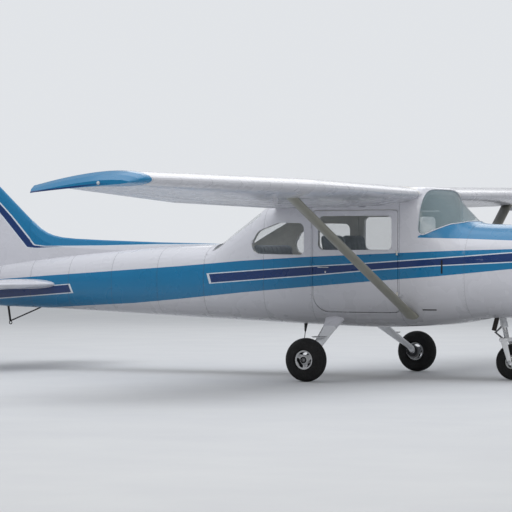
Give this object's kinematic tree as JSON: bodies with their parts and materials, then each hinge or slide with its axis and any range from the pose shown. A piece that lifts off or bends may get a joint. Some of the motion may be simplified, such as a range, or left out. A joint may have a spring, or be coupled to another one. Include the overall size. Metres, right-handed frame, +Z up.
{
  "type": "light aircraft",
  "caption": "Single-engined light aircraft with a strut-braced high wing, a glazed cabin, a swept fin and a fixed nose-wheel undercarriage.",
  "frame": {"origin": "on the ground at the middle of the bounding box", "axes": "+X towards the nose, +Y to port, +Z up"},
  "size_m": [8.2, 10.9836, 2.675],
  "materials": {
    "white_enamel": "white enamel over sheet metal",
    "blue_enamel": "blue enamel over moulded plastic",
    "glazing": "clear acrylic sheet",
    "tyre_rubber": "worn black rubber",
    "wheel_casting": "light grey painted casting",
    "polished_metal": "polished and painted steel",
    "dark_casting": "dark engine castings",
    "painted_steel": "painted steel tube",
    "exhaust_steel": "heat-stained steel",
    "propeller_metal": "bare and painted forging",
    "grey_fabric": "woven grey seat cloth",
    "black_plastic": "textured black plastic",
    "red_lens": "red lens",
    "green_lens": "green lens"
  },
  "bodies": {
    "airframe": {"belly_aerial": "black_plastic", "cabin_shell": "white_enamel", "cowl_lower": "white_enamel", "cowl_upper": "white_enamel", "engine_block": "dark_casting", "exhaust_stack": "exhaust_steel", "fin": "white_enamel", "gear_leg_left": "painted_steel", "gear_leg_right": "painted_steel", "instrument_panel": "black_plastic", "navigation_lamp_left": "red_lens", "navigation_lamp_right": "green_lens", "nose_strut": "painted_steel", "rear_side_window_left": "glazing", "rear_side_window_right": "glazing", "rear_window": "glazing", "seat_cushion_left": "grey_fabric", "seat_cushion_rear": "grey_fabric", "seat_cushion_right": "grey_fabric", "seat_frame_left": "painted_steel", "seat_frame_rear": "painted_steel", "seat_frame_right": "painted_steel", "stabiliser_left": "white_enamel", "stabiliser_right": "white_enamel", "strut_left": "white_enamel", "strut_right": "white_enamel", "tail_cone": "white_enamel", "tail_tie_down": "painted_steel", "windscreen": "glazing", "wing_left": "white_enamel", "wing_right": "white_enamel", "wing_tip_left": "blue_enamel", "wing_tip_right": "blue_enamel", "yoke_left": "black_plastic", "yoke_right": "black_plastic"},
    "left_door": {"door_left": "white_enamel", "door_window_left": "glazing"},
    "right_door": {"door_right": "white_enamel", "door_window_right": "glazing"},
    "baggage_lid": {"baggage_door": "white_enamel"},
    "left_aileron": {"aileron_left": "white_enamel"},
    "right_aileron": {"aileron_right": "white_enamel"},
    "left_flap": {"flap_left": "white_enamel"},
    "right_flap": {"flap_right": "white_enamel"},
    "elevator_pair": {"elevator": "white_enamel"},
    "rudder_body": {"rudder": "white_enamel", "beacon": "red_lens"},
    "propeller_and_spinner": {"propeller": "propeller_metal", "spinner": "white_enamel"},
    "left_main_wheel": {"tyre_main_left": "tyre_rubber", "hub_main_left": "wheel_casting"},
    "right_main_wheel": {"tyre_main_right": "tyre_rubber", "hub_main_right": "wheel_casting"},
    "steered_fork": {"nose_fork": "polished_metal"},
    "nose_wheel": {"tyre_nose": "tyre_rubber", "hub_nose": "wheel_casting"}
  },
  "joints": [
    {"name": "propeller_spin", "type": "hinge", "parent": "airframe", "child": "propeller_and_spinner", "pos_m": [3.838, 0, 1.24], "axis": [1, 0, 0], "continuous": true},
    {"name": "left_wheel_spin", "type": "hinge", "parent": "airframe", "child": "left_main_wheel", "pos_m": [1.402, 1.275, 0.215], "axis": [0, 1, 0], "continuous": true},
    {"name": "right_wheel_spin", "type": "hinge", "parent": "airframe", "child": "right_main_wheel", "pos_m": [1.402, -1.275, 0.215], "axis": [0, 1, 0], "continuous": true},
    {"name": "nose_steering", "type": "hinge", "parent": "airframe", "child": "steered_fork", "pos_m": [2.955, 0, 0.55], "axis": [-0.2079, 0, 0.9781], "range_deg": [-30, 30]},
    {"name": "nose_wheel_spin", "type": "hinge", "parent": "steered_fork", "child": "nose_wheel", "pos_m": [3.053, 0, 0.18], "axis": [0, 1, 0], "continuous": true},
    {"name": "left_door_hinge", "type": "hinge", "parent": "airframe", "child": "left_door", "pos_m": [2.0428, 0.556, 1.06], "axis": [0, 0, -1], "range_deg": [0, 75]},
    {"name": "right_door_hinge", "type": "hinge", "parent": "airframe", "child": "right_door", "pos_m": [2.0428, -0.556, 1.06], "axis": [0, 0, 1], "range_deg": [0, 75]},
    {"name": "baggage_door_hinge", "type": "hinge", "parent": "airframe", "child": "baggage_lid", "pos_m": [0.4628, 0.525, 0.98], "axis": [0, 0, -1], "range_deg": [0, 95]},
    {"name": "left_aileron_hinge", "type": "hinge", "parent": "airframe", "child": "left_aileron", "pos_m": [1.11243, 3.90891, 1.83942], "axis": [0.051, 0.9982, 0.0312], "range_deg": [-15, 20]},
    {"name": "right_aileron_hinge", "type": "hinge", "parent": "airframe", "child": "right_aileron", "pos_m": [1.11243, -3.90891, 1.83942], "axis": [-0.051, 0.9982, -0.0312], "range_deg": [-15, 20]},
    {"name": "left_flap_track", "type": "hinge", "parent": "airframe", "child": "left_flap", "pos_m": [1.08839, 1.58291, 1.56633], "axis": [0, -0.9999, -0.0157], "range_deg": [0, 40]},
    {"name": "right_flap_track", "type": "hinge", "parent": "airframe", "child": "right_flap", "pos_m": [1.08839, -1.58291, 1.56633], "axis": [0, -0.9999, 0.0157], "range_deg": [0, 40]},
    {"name": "elevator_hinge", "type": "hinge", "parent": "airframe", "child": "elevator_pair", "pos_m": [-3.07, 0, 0.917], "axis": [0, 1, 0], "range_deg": [-23, 28]},
    {"name": "rudder_hinge", "type": "hinge", "parent": "airframe", "child": "rudder_body", "pos_m": [-3.602, 0, 1.6], "axis": [-0.1867, 0, 0.9824], "range_deg": [-17.7, 17.7]}
  ],
  "couplings": [
    {"joint": "left_flap_track", "follows": "right_flap_track", "ratio": 1}
  ]
}
